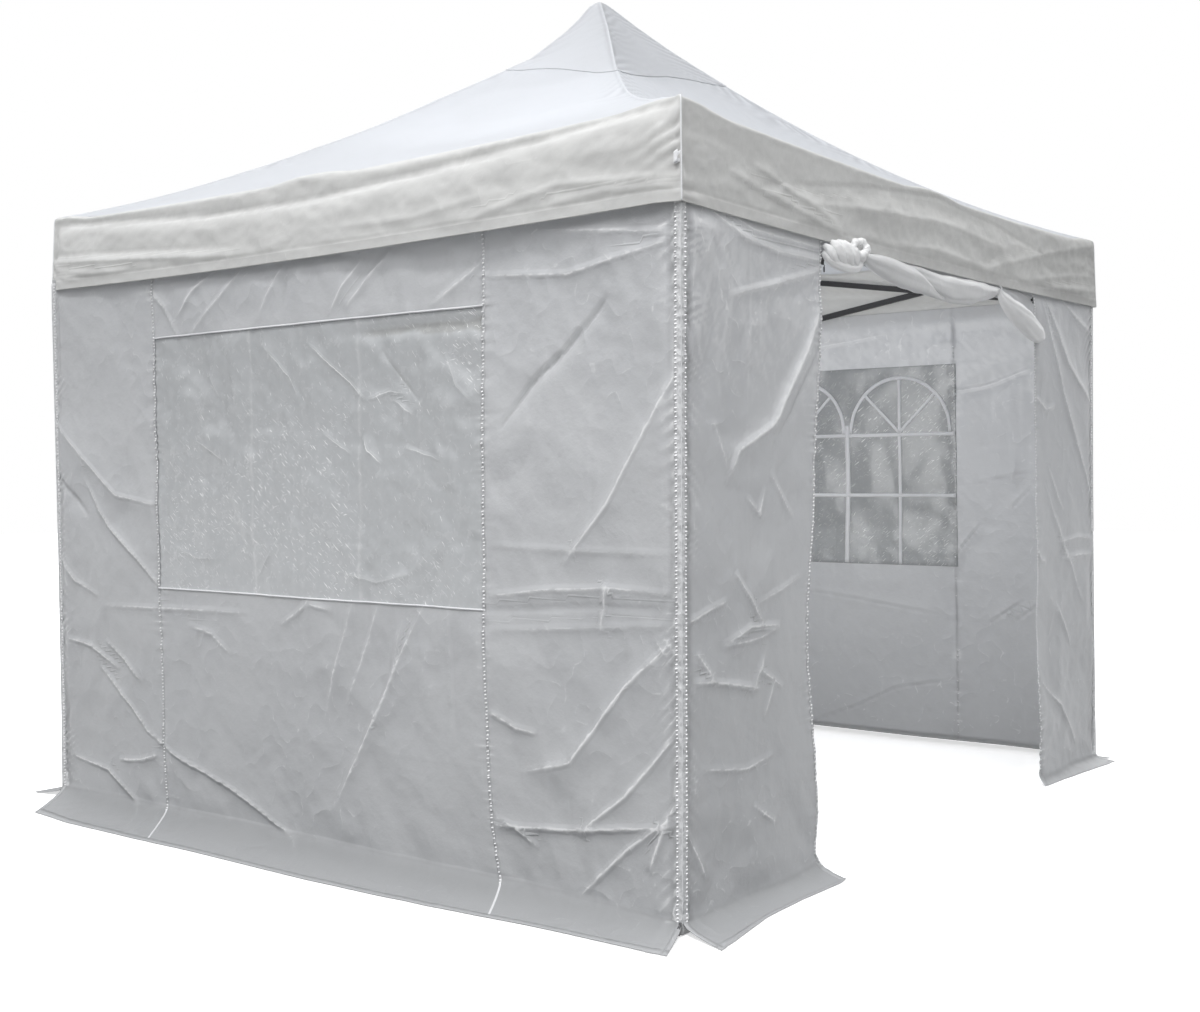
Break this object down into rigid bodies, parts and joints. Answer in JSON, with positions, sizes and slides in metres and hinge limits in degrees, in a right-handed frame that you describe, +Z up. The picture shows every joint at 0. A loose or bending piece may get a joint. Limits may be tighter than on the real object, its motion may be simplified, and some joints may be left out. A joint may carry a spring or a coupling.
{
  "type": "pop-up marquee tent",
  "caption": "Square pop-up marquee with a peaked white roof, valance, zip-on window walls and a rolled-up front door on a folding steel frame.",
  "frame": {"origin": "on the ground below the peak", "axes": "+Z up; -Y out of the doorway; +X to the right for someone who faces the doorway from outside"},
  "size_m": [3.3722, 3.2835, 3.1655],
  "materials": {
    "roof_cloth": "matt coated polyester",
    "wall_cloth": "satin coated polyester",
    "window_film": "clear crinkled film",
    "frame_steel": "black powder coat",
    "joint_nylon": "moulded nylon"
  },
  "bodies": {
    "root": {"peak_cap": "roof_cloth", "roof_gore_front": "roof_cloth", "roof_gore_right": "roof_cloth", "roof_gore_back": "roof_cloth", "roof_gore_left": "roof_cloth", "valance_front": "roof_cloth", "valance_right": "roof_cloth", "valance_back": "roof_cloth", "valance_left": "roof_cloth", "wall_left": "wall_cloth", "wall_right": "wall_cloth", "wall_back": "wall_cloth", "wall_front_left": "wall_cloth", "wall_front_right": "wall_cloth", "rolled_door": "wall_cloth", "window_film_left": "window_film", "window_film_right": "window_film", "window_film_back": "window_film", "side_truss_front": "frame_steel", "side_truss_right": "frame_steel", "side_truss_back": "frame_steel", "side_truss_left": "frame_steel", "roof_truss_front": "frame_steel", "roof_truss_right": "frame_steel", "roof_truss_back": "frame_steel", "roof_truss_left": "frame_steel", "leg_upper_front_left": "frame_steel", "leg_upper_front_right": "frame_steel", "leg_upper_back_right": "frame_steel", "leg_upper_back_left": "frame_steel", "leg_lower_front_left": "frame_steel", "leg_lower_front_right": "frame_steel", "leg_lower_back_right": "frame_steel", "leg_lower_back_left": "frame_steel", "peak_pole": "frame_steel", "corner_bracket_front_left": "joint_nylon", "corner_bracket_front_right": "joint_nylon", "corner_bracket_back_right": "joint_nylon", "corner_bracket_back_left": "joint_nylon", "slider_front_left": "joint_nylon", "slider_front_right": "joint_nylon", "slider_back_right": "joint_nylon", "slider_back_left": "joint_nylon", "hub_upper": "joint_nylon", "hub_lower": "joint_nylon"}
  },
  "joints": []
}
